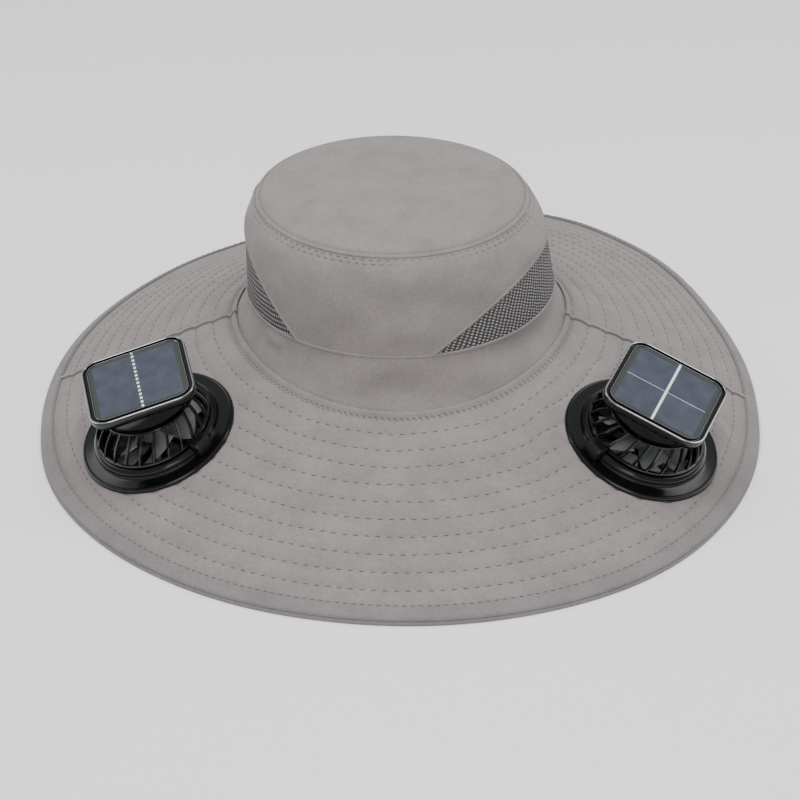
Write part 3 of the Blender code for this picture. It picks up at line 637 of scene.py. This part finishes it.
# Vents.
# Dark knitted net let into both sides of the crown, a triangle under the slanting edges, the
# right one lower. Its light loops stand in ribs, and it is thinner than the cloth round it.
def net_material():
    """Knitted polyester net: ribs 2.5 mm apart of light loops 1.6 mm long over a dark ground."""
    made, tree, shader = new_material("dark_knitted_net", {"Roughness": 0.75, "Specular IOR Level": 0.3})
    flat = add(tree, "ShaderNodeUVMap", {"uv_map": "millimetres"}, {}).outputs["UV"]
    rotation = (0.0, 0.0, math.radians(28.0))
    turned_flat = add(tree, "ShaderNodeMapping", {}, {"Vector": flat, "Rotation": rotation}).outputs["Vector"]
    ribs = add(
        tree, "ShaderNodeTexWave", {"bands_direction": "X"},
        {"Vector": turned_flat, "Scale": 0.125, "Distortion": 2.6, "Detail Scale": 0.5},
    ).outputs["Fac"]
    loops = add(
        tree, "ShaderNodeTexWave", {"bands_direction": "Y"},
        {"Vector": turned_flat, "Scale": 0.20, "Distortion": 4.0, "Detail Scale": 0.8},
    ).outputs["Fac"]
    knit = add(tree, "ShaderNodeMath", {"operation": "MULTIPLY"}, {0: ribs, 1: loops}).outputs["Value"]
    light = add(tree, "ShaderNodeMapRange", {}, {"Value": knit, "From Min": 0.15, "From Max": 0.75})
    tint = mixed(tree, light.outputs["Result"], linear("413F3F"), linear("ACA8A7"))
    tree.links.new(tint, shader.inputs["Base Color"])
    bump = add(tree, "ShaderNodeBump", {}, {"Height": knit, "Distance": 0.0006, "Strength": 0.8})
    tree.links.new(bump.outputs["Normal"], shader.inputs["Normal"])
    return made


NET = net_material()


def make_vent(name, middle, node, tall, slant):
    """One vent under its slanting edges; its net's ribs are turned by slant degrees."""
    off = np.linspace(PANEL_HALF_ANGLE, 180.0 - PANEL_HALF_ANGLE, 130)[None, :]
    share = np.linspace(0.0, 1.0, 30)[:, None]
    height = vent_edge(90.0 - np.abs(90.0 - off), tall) * share
    angle = middle - 90.0 + off + 0.0 * share
    height = np.broadcast_to(height, angle.shape)
    points, faces = walled(wall_surface(angle, height, 0.0004), wall_surface(angle, height, 0.0014))
    along, up = np.radians(angle) * 80.0, height * 52.0
    c, s = math.cos(math.radians(slant)), math.sin(math.radians(slant))
    flat = np.stack([along * c - up * s, along * s + up * c], -1).reshape(-1, 2)
    walled_piece(name, points, faces, NET, flat, node)


make_vent("vent_net_right", CROWN_FRONT + 90.0, "vent_right", RIGHT_VENT_HEIGHT, 0.0)
make_vent("vent_net_left", CROWN_FRONT - 90.0, "vent_left", LEFT_VENT_HEIGHT, 58.0)


# Seam rolls.
# Narrow folded edges of the same cloth along the crown's seams: round the top, up both sides,
# along the vents and the top of the band. Each is a thin oval tube on the surface.
def tubes(paths, outs, width, height, around, closed):
    """Tubes along paths (count, stations, 3): ring points at path + side w cos t + out h sin t."""
    count, stations = paths.shape[:2]
    if closed:
        ahead = np.roll(paths, -1, 1) - np.roll(paths, 1, 1)
    else:
        ahead = np.gradient(paths, axis=1)
    side = np.cross(ahead, outs)
    side = side / np.linalg.norm(side, axis=-1)[..., None]
    up = np.cross(side, ahead)
    up = up / np.linalg.norm(up, axis=-1)[..., None]
    turn = np.linspace(0.0, 2.0 * math.pi, around, endpoint=False)[:, None]
    wide = np.broadcast_to(width, (count, stations))[..., None, None]
    high = np.broadcast_to(height, (count, stations))[..., None, None]
    rings = paths[:, :, None] + side[:, :, None] * wide * np.cos(turn) + up[:, :, None] * high * np.sin(turn)
    one = grid_faces(stations, around, closed, True)
    base = np.arange(count)[:, None, None] * stations * around
    faces = [(one[None] + base).reshape(-1, 4)]
    if not closed:
        cap = np.arange(around)[None, None]
        faces.append((cap + base).reshape(-1, around))
        faces.append((cap + base + (stations - 1) * around).reshape(-1, around))
    return rings.reshape(-1, 3), faces


def gathered(parts):
    """Several (points, faces) joined into one, with the faces of each moved on."""
    points, faces, start = [], [], 0
    for part_points, part_faces in parts:
        points.append(part_points)
        faces.extend(f + start for f in part_faces)
        start += len(part_points)
    return np.concatenate(points), faces


def make_seam_rolls():
    round_angle = np.linspace(0.0, 360.0, 400, endpoint=False)
    up = np.array([0.0, 0.0, 1.0])
    parts = []
    top = wall_surface(round_angle, np.full(400, 0.992), -0.0002)
    parts.append(tubes(top[None], (outward(round_angle) + up)[None], 0.0011, 0.0009, 8, True))
    band = band_surface(round_angle, np.full(400, 0.02), 0.0001)
    parts.append(tubes(band[None], outward(round_angle)[None], 0.0009, 0.0006, 8, True))
    for side, tall in ((-90.0, LEFT_VENT_HEIGHT), (90.0, RIGHT_VENT_HEIGHT)):
        height = np.linspace(tall, 0.98, 12)
        angle = np.full(12, CROWN_FRONT + side)
        path = wall_surface(angle, height, 0.0002)
        parts.append(tubes(path[None], outward(angle)[None], 0.0014, 0.0007, 8, False))
    for middle in (CROWN_FRONT, CROWN_FRONT + 180.0):
        for side in (-1.0, 1.0):
            off = side * np.linspace(PANEL_HALF_ANGLE, 90.0, 60)
            leftward = math.cos(math.radians(middle + side * 90.0)) < 0.0
            tall = LEFT_VENT_HEIGHT if leftward else RIGHT_VENT_HEIGHT
            path = wall_surface(middle + off, vent_edge(off, tall), 0.0)
            parts.append(tubes(path[None], outward(middle + off)[None], 0.0008, 0.0006, 8, False))
    points, faces = gathered(parts)
    piece("crown_seam_rolls", points, faces, CLOTH_GREY, flat=points[:, :2] * 1000.0)


make_seam_rolls()


# Stitching.
# Dark grey polyester thread, in stitches 2.7 mm long, 5.5 mm apart along the wide rows of the
# brim and closer along the crown's seams. Each stitch is a short capsule half sunk in the cloth.
def stitch_parts(path, outs, pitch, length, thick):
    """Capsules every pitch along a closed or open path, bowed so that both ends dive in the cloth."""
    step = np.linalg.norm(np.diff(path, axis=0), axis=1)
    run = np.concatenate([[0.0], np.cumsum(step)])
    middles = np.arange(0.5 * pitch, run[-1] - 0.5 * pitch, pitch)
    share = np.array([-1.0, -0.92, -0.6, 0.0, 0.6, 0.92, 1.0])
    at = middles[:, None] + 0.5 * length * share[None, :]
    place = np.stack([np.interp(at, run, path[:, i]) for i in range(3)], -1)
    out = np.stack([np.interp(at, run, outs[:, i]) for i in range(3)], -1)
    out = out / np.linalg.norm(out, axis=-1)[..., None]
    place = place + out * (0.35 * thick * (1.0 - 1.6 * share**4))[None, :, None]
    radius = 0.5 * thick * np.array([0.15, 0.6, 0.95, 1.0, 0.95, 0.6, 0.15])
    return tubes(place, out, radius[None, :], radius[None, :], 6, False)


def brim_up(angle, reach):
    """The upward unit normal of the plain brim, from small steps round and outwards."""
    place = brim_surface(angle, reach)
    ahead = brim_surface(angle + 0.2, reach) - place
    out = brim_surface(angle, reach + 0.01) - place
    normal = np.cross(out, ahead)
    return normal / np.linalg.norm(normal, axis=-1)[..., None]


def make_brim_stitches():
    angle = np.linspace(0.0, 360.0, 1400)
    parts = []
    for index, row in enumerate(STITCH_ROWS):
        reach = np.full(angle.shape, row)
        path = brim_cloth(angle, reach, np.full(angle.shape, 1.0), 0.0)
        pitch, length, thick = (0.0032, 0.0019, 0.00045) if index < 2 else (0.0055, 0.0027, 0.00046)
        clear = np.min([np.linalg.norm(path - fan_place(s), axis=-1) for s in FANS], axis=0) > 0.0425
        starts = np.flatnonzero(np.diff(clear.astype(int))) + 1
        for run in np.split(np.arange(len(angle)), starts):
            if clear[run[0]] and len(run) > 20:
                parts.append(stitch_parts(path[run], brim_up(angle[run], reach[run]), pitch, length, thick))
    edge, up_brim, _ = hem_lines(angle)
    path = edge + up_brim * HEM_TURNIN * 0.86 + np.array([0.0, 0.0, 0.0015])
    parts.append(stitch_parts(path, brim_up(angle, np.full(angle.shape, 0.95)), 0.0040, 0.0024, 0.0004))
    points, faces = gathered(parts)
    piece("brim_stitches", points, faces, THREAD)


def make_crown_stitches():
    angle = np.linspace(0.0, 360.0, 900)
    parts = []
    for height, thick in ((0.962, 0.00036), (0.930, 0.00028)):
        path = wall_surface(angle, np.full(900, height))
        parts.append(stitch_parts(path, outward(angle), 0.0042, 0.0023, thick))
    points, faces = gathered(parts)
    piece("crown_stitches", points, faces, THREAD)


def thread_material():
    """Matt polyester thread, darker than the cloth, with a faint twist 0.6 mm long."""
    made, tree, shader = new_material("dark_grey_thread", {"Roughness": 0.7})
    place = add(tree, "ShaderNodeTexCoord", {}, {}).outputs["Object"]
    twist = add(tree, "ShaderNodeTexNoise", {}, {"Vector": place, "Scale": 1600.0}).outputs["Fac"]
    tint = mixed(tree, twist, linear("544F4F"), linear("6E6A69"))
    tree.links.new(tint, shader.inputs["Base Color"])
    return made


THREAD = thread_material()
make_brim_stitches()
make_crown_stitches()


# Fan seats and cages.
# Each fan stands in a flat ring of glossy black plastic with a raised collar. A guard of thin
# ribs between two hoops stands on the collar, and a catch beside it hooks over the collar's top.
FLANGE_RADIUS = 0.0410
COLLAR_RADIUS = 0.0335
COLLAR_HEIGHT = 0.0068
CAGE_RADIUS = 0.0305
CAGE_TOP_RADIUS = 0.0240
CAGE_TOP_HEIGHT = 0.0200
RIBS = 24


def gloss_material(name, colour, roughness, speckle):
    """Moulded glossy plastic with slight unevenness 4 mm across that softens its reflections."""
    made, tree, shader = new_material(name, {"Base Color": linear(colour), "Roughness": roughness})
    place = add(tree, "ShaderNodeTexCoord", {}, {}).outputs["Object"]
    noise = add(
        tree, "ShaderNodeTexNoise", {}, {"Vector": place, "Scale": 250.0, "Detail": 1.0}
    ).outputs["Fac"]
    wear = add(
        tree, "ShaderNodeMapRange", {},
        {"Value": noise, "To Min": roughness * 0.8, "To Max": roughness * (1.0 + speckle)},
    )
    tree.links.new(wear.outputs["Result"], shader.inputs["Roughness"])
    return made


BLACK = gloss_material("gloss_black_abs", "080909", 0.13, 0.4)
SATIN_BLACK = gloss_material("satin_black_abs", "101111", 0.34, 0.4)
BLADE_GREY = gloss_material("dark_grey_nylon", "76787A", 0.30, 0.4)
BRIGHT = gloss_material("bright_chrome_trim", "D4D6D8", 0.16, 0.3)
BRIGHT.node_tree.nodes["Principled BSDF"].inputs["Metallic"].default_value = 1.0


def rounded_line(points, radius, steps=4, closed=True):
    """The line with each corner eased: a quadratic curve from radius before it to radius after."""
    points = np.asarray(points, float)
    count = len(points)
    made = []
    for i in range(count):
        if not closed and i in (0, count - 1):
            made.append(points[i][None])
            continue
        before = points[i - 1] - points[i]
        after = points[(i + 1) % count] - points[i]
        a = points[i] + before * min(0.5, radius / np.linalg.norm(before))
        b = points[i] + after * min(0.5, radius / np.linalg.norm(after))
        t = np.linspace(0.0, 1.0, steps)[:, None]
        made.append(a * (1 - t) ** 2 + points[i] * 2 * t * (1 - t) + b * t**2)
    return np.concatenate(made)


def lathe(profile, segments, closed=True):
    """Points and faces of a (radius, height) profile turned about Z: (r cos t, r sin t, h)."""
    turn = np.linspace(0.0, 2.0 * math.pi, segments, endpoint=False)
    radius, height = profile[:, :1], profile[:, 1:]
    grid = np.stack([radius * np.cos(turn), radius * np.sin(turn), height + 0.0 * turn], -1)
    return grid.reshape(-1, 3), [grid_faces(len(profile), segments, closed, True)]


def placed(points, place):
    return points @ place[:3, :3].T + place[:3, 3]


def capped(rows, columns):
    """The faces of a stack of closed rings, with one face at each end."""
    ends = np.arange(columns)[None]
    return [grid_faces(rows, columns, False, True), ends, ends + (rows - 1) * columns]


def fan_piece(side, name, node, points, faces, finish, flat=None):
    """A piece of one fan, which replaces a node of that fan."""
    node = f"fan_{side}_{node}"
    piece(f"{name}_{side}", points, faces, finish, flat=flat, replaces=[node])


def make_seat(side):
    seat = seat_frame(side)
    top = 0.0021
    section = (
        (0.0288, COLLAR_HEIGHT),
        (COLLAR_RADIUS - 0.0020, COLLAR_HEIGHT),
        (COLLAR_RADIUS - 0.0004, COLLAR_HEIGHT - 0.0014),
        (COLLAR_RADIUS, top + 0.0008),
        (COLLAR_RADIUS + 0.0012, top + 0.0004),
        (FLANGE_RADIUS - 0.0019, top),
        (FLANGE_RADIUS - 0.0010, top + 0.0002),
        (FLANGE_RADIUS - 0.0002, top - 0.0007),
        (FLANGE_RADIUS, 0.0002),
        (DUCT_RADIUS, 0.0002),
        (DUCT_RADIUS, -0.0020),
        (0.0288, -0.0020),
    )
    points, faces = lathe(rounded_line(section, 0.0004), 160)
    fan_piece(side, "seat", "flange", placed(points, seat), faces, BLACK)


def make_cage(side):
    """Ribs bow out by 1.5 mm sin(pi s) between the hoops and lean 10 degrees round the axis."""
    seat = seat_frame(side)
    head = tilted_frame(fan_place(side), FANS[side][4], FANS[side][5])
    turn = np.linspace(0.0, 2.0 * math.pi, 120, endpoint=False)
    ring = np.stack([np.cos(turn), np.sin(turn), 0.0 * turn], -1)
    up = np.array([0.0, 0.0, 1.0])
    low = placed(ring * (CAGE_RADIUS - 0.0009) + up * (COLLAR_HEIGHT + 0.0011), seat)
    high = placed(ring * (CAGE_TOP_RADIUS - 0.0009) + up * (CAGE_TOP_HEIGHT - 0.0008), head)
    parts = [
        tubes(low[None], (ring @ seat[:3, :3].T)[None], 0.0009, 0.0010, 8, True),
        tubes(high[None], (ring @ head[:3, :3].T)[None], 0.0008, 0.0010, 8, True),
    ]
    start = np.arange(RIBS)[:, None] * 2.0 * math.pi / RIBS
    share = np.linspace(0.0, 1.0, 9)[None, :]
    lean = start + math.radians(10.0)
    away = np.stack([np.cos(start), np.sin(start), 0.0 * start], -1)
    away_leaning = np.stack([np.cos(lean), np.sin(lean), 0.0 * lean], -1)
    foot = placed(away * (CAGE_RADIUS - 0.0009) + up * (COLLAR_HEIGHT + 0.0011), seat)
    tip = placed(away_leaning * (CAGE_TOP_RADIUS - 0.0009) + up * (CAGE_TOP_HEIGHT - 0.0008), head)
    out = away @ seat[:3, :3].T
    path = foot + (tip - foot) * share[..., None] + out * (0.0015 * np.sin(math.pi * share))[..., None]
    parts.append(tubes(path, np.broadcast_to(out, path.shape), 0.00075, 0.0010, 8, False))
    points, faces = gathered(parts)
    fan_piece(side, "cage", "cage", points, faces, BLACK)


def make_latch(side):
    """A hooked block extruded along the ring, its edges eased."""
    seat = seat_frame(side) @ tilted_frame(np.zeros(3), 0.0, 0.0, FANS[side][7])
    leg, foot, hook, top = COLLAR_RADIUS + 0.0003, 0.0028, COLLAR_HEIGHT + 0.0003, COLLAR_HEIGHT + 0.0035
    far, near, slant = leg + 0.0036, 0.0308, 0.0014
    outline = (
        (leg, foot),
        (far, foot),
        (far, top - slant),
        (far - slant, top),
        (near, top),
        (near, hook),
        (leg, hook),
    )
    outline = rounded_line(outline, 0.0004, 3)
    middle = outline.mean(0)
    rows = []
    eased_ends = ((0.0045, 0.86), (0.0042, 0.96), (0.0038, 1.0))
    stations = [(-along, shrink) for along, shrink in eased_ends] + list(eased_ends[::-1])
    for along, shrink in stations:
        eased = middle + (outline - middle) * shrink
        rows.append(np.stack([eased[:, 0], np.full(len(eased), along), eased[:, 1]], -1))
    faces = capped(len(rows), len(outline))
    fan_piece(side, "latch", "latch", placed(np.concatenate(rows), seat), faces, SATIN_BLACK)


for side in FANS:
    make_seat(side)
    make_cage(side)
    make_latch(side)
    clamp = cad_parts[f"fan_{side}_clamp"]
    clamp.data.materials.clear()
    clamp.data.materials.append(SATIN_BLACK)


# Fan heads.
# A glossy black bowl over the guard holds the motor and carries the square tray of the solar
# panel. The tray is black with a bright trim line round it and a second, thinner one inside.
HOUSING_RADIUS = 0.0236
PANEL_TOP = 0.0358
FRAME_SIDE = 0.0550
FRAME_CORNER = 0.0095


def square_rings(section, steps=10):
    """Rounded squares stacked along a section of (inset from the tray's side, height)."""
    turn = np.linspace(0.0, 0.5 * math.pi, steps)
    rings = []
    for inset, height in section:
        corner = max(FRAME_CORNER - inset, 1e-5)
        centre = 0.5 * FRAME_SIDE - inset - corner
        ring = []
        for quarter in range(4):
            at = turn + 0.5 * math.pi * quarter
            sx, sy = ((1, 1), (-1, 1), (-1, -1), (1, -1))[quarter]
            across, along = centre * sx + corner * np.cos(at), centre * sy + corner * np.sin(at)
            ring.append(np.stack([across, along, 0.0 * at + height], -1))
        rings.append(np.concatenate(ring))
    return np.stack(rings)


def make_head(side):
    head = tilted_frame(fan_place(side), FANS[side][4], FANS[side][5])
    panel = tilted_frame(fan_place(side), FANS[side][4], FANS[side][5], FANS[side][6])
    low = PANEL_TOP - 0.0055
    plug_radius, shaft_radius, shaft_end = 0.0216, 0.0015, 0.0026
    bowl = (
        (0.0, low - 0.0001),
        (HOUSING_RADIUS, low - 0.0001),
        (HOUSING_RADIUS, CAGE_TOP_HEIGHT + 0.0020),
        (HOUSING_RADIUS - 0.0011, CAGE_TOP_HEIGHT + 0.0002),
        (plug_radius, CAGE_TOP_HEIGHT + 0.0002),
        (plug_radius, CAGE_TOP_HEIGHT - 0.0014),
        (shaft_radius, CAGE_TOP_HEIGHT - 0.0014),
        (shaft_radius, shaft_end),
        (0.0, shaft_end),
    )
    points, faces = lathe(rounded_line(bowl, 0.0006, 4, False), 120, False)
    fan_piece(side, "housing", "housing", placed(points, head), faces, BLACK)
    section = (
        (0.0030, low),
        (0.0012, low),
        (0.0, low + 0.0022),
        (0.0, PANEL_TOP - 0.0004),
        (0.0012, PANEL_TOP - 0.0002),
        (0.0013, PANEL_TOP - 0.0012),
        (0.0028, PANEL_TOP - 0.0012),
        (0.0029, PANEL_TOP - 0.0003),
        (0.0034, PANEL_TOP - 0.0005),
        (0.0036, PANEL_TOP - 0.0022),
    )
    grid = square_rings(rounded_line(section, 0.0003, 3, False))
    faces = capped(*grid.shape[:2])
    fan_piece(side, "tray", "panel_frame", placed(grid.reshape(-1, 3), panel), faces, BLACK)
    parts = []
    for inset, width, rise in ((0.00060, 0.00045, -0.0002), (0.00315, 0.00018, -0.0003)):
        path = square_rings([(inset, PANEL_TOP + rise)])[0]
        up = np.broadcast_to([0.0, 0.0, 1.0], path.shape)
        parts.append(tubes(path[None], up[None], width, 0.0003, 8, True))
    points, faces = gathered(parts)
    piece(f"trim_{side}", placed(points, panel), faces, BRIGHT)


for side in FANS:
    make_head(side)


# Solar panels.
# A glass-covered cell in each tray: blue-grey silicon with fine lines across it, a dark border,
# and one silver bar down its middle. The right one also has a thin line across its middle.
def solar_material(name, dotted, crossed):
    """The cell is |u|, |v| < 21.5 mm; lines every 1.1 mm along v; bar |u| < 0.65 mm; cross |v| < 0.20 mm."""
    made, tree, shader = new_material(name, {"Roughness": 0.30, "Coat Weight": 0.5, "Coat Roughness": 0.05})
    flat = add(tree, "ShaderNodeUVMap", {"uv_map": "millimetres"}, {}).outputs["UV"]
    split = add(tree, "ShaderNodeSeparateXYZ", {}, {"Vector": flat})

    def math_node(operation, first, second=0.0, third=0.0):
        values = {0: first, 1: second, 2: third}
        return add(tree, "ShaderNodeMath", {"operation": operation}, values).outputs["Value"]

    u, v = split.outputs["X"], split.outputs["Y"]
    off_u, off_v = math_node("ABSOLUTE", u), math_node("ABSOLUTE", v)
    cell = math_node("LESS_THAN", math_node("MAXIMUM", off_u, off_v), 21.5)
    ripple = add(
        tree, "ShaderNodeTexNoise", {}, {"Vector": flat, "Scale": 0.12, "Detail": 2.0}
    ).outputs["Fac"]
    lines = add(
        tree, "ShaderNodeTexWave", {"bands_direction": "Y"},
        {"Vector": flat, "Scale": 0.29, "Distortion": 2.2, "Detail": 3.0},
    ).outputs["Fac"]
    lit = math_node("MULTIPLY", lines, ripple)
    silicon = mixed(tree, lit, linear("292D37"), linear("626879"))
    glass = mixed(tree, cell, linear("333836"), silicon)
    bar = math_node("MULTIPLY", math_node("LESS_THAN", off_u, 0.65), math_node("LESS_THAN", off_v, 24.0))
    if dotted:
        dots = math_node("LESS_THAN", math_node("FRACT", math_node("MULTIPLY", v, 0.303)), 0.55)
        bar = math_node("MULTIPLY", bar, dots)
    if crossed:
        cross = math_node("MULTIPLY", math_node("LESS_THAN", off_v, 0.20), cell)
        bar = math_node("MAXIMUM", bar, math_node("MULTIPLY", cross, 0.5))
    tint = mixed(tree, bar, glass, linear("E8E8E6"))
    tree.links.new(tint, shader.inputs["Base Color"])
    return made


def make_plate(side, finish):
    panel = tilted_frame(fan_place(side), FANS[side][4], FANS[side][5], FANS[side][6])
    top = PANEL_TOP - 0.0005
    middle = 0.5 * FRAME_SIDE - 1e-5
    section = (
        (middle, top),
        (0.0046, top),
        (0.0036, top),
        (0.0034, top - 0.0002),
        (0.0034, top - 0.0016),
        (middle, top - 0.0016),
    )
    grid = square_rings(section, 8)
    points = grid.reshape(-1, 3)
    flat = points[:, :2] * 1000.0
    faces = capped(*grid.shape[:2])
    points = placed(points, panel)
    fan_piece(side, "solar_plate", "solar_plate", points, faces, finish, flat)


make_plate("left", solar_material("solar_cell_dotted_bar", True, False))
make_plate("right", solar_material("solar_cell_crossed", False, True))


# Impellers.
# A dark grey moulded hub with seven pitched blades, which turns on the motor's shaft inside the
# guard. The blades are thin bent plates, narrower at their tops.
HUB_RADIUS = 0.0105
HUB_HEIGHT = 0.0110
BLADES = 7
BLADE_RADIUS = 0.0245
BLADE_HEIGHT = 0.0090
BLADE_WALL = 0.0010


def blade_surface(start, base, side):
    """Radius r, height share u: direction start + 30 u + 14 (r / R) ** 2, moved half a wall aside."""
    radius = np.linspace(HUB_RADIUS - 0.0012, BLADE_RADIUS, 16)[None, :]
    up = np.linspace(0.0, 1.0, 12)[:, None]
    draw_in = 1.0 - 0.10 * up * (radius - HUB_RADIUS) / (BLADE_RADIUS - HUB_RADIUS)
    sweep = np.radians(start + 30.0 * up + 14.0 * (radius / BLADE_RADIUS) ** 2)
    sweep = sweep + side * 0.5 * BLADE_WALL / radius
    height = base + 0.0008 + (BLADE_HEIGHT - 0.0016) * up + 0.0 * radius
    return np.stack([radius * draw_in * np.cos(sweep), radius * draw_in * np.sin(sweep), height], -1)


def make_impeller(side):
    head = tilted_frame(fan_place(side), FANS[side][4], FANS[side][5])
    base = COLLAR_HEIGHT - 0.5 * BLADE_HEIGHT
    bore, slant, top = 0.0018, 0.0015, base + HUB_HEIGHT
    edge = ((HUB_RADIUS - slant, top), (HUB_RADIUS, top - slant))
    hub = ((bore, top), *edge, (HUB_RADIUS, base), (bore, base))
    parts = [lathe(rounded_line(hub, 0.0003), 60)]
    for index in range(BLADES):
        start = 360.0 * index / BLADES
        parts.append(walled(blade_surface(start, base, 1.0), blade_surface(start, base, -1.0)))
    points, faces = gathered(parts)
    piece(f"impeller_{side}", placed(points, head), faces, BLADE_GREY, body=f"impeller_{side}",
          replaces=[f"fan_{side}_impeller"])


for side in FANS:
    make_impeller(side)
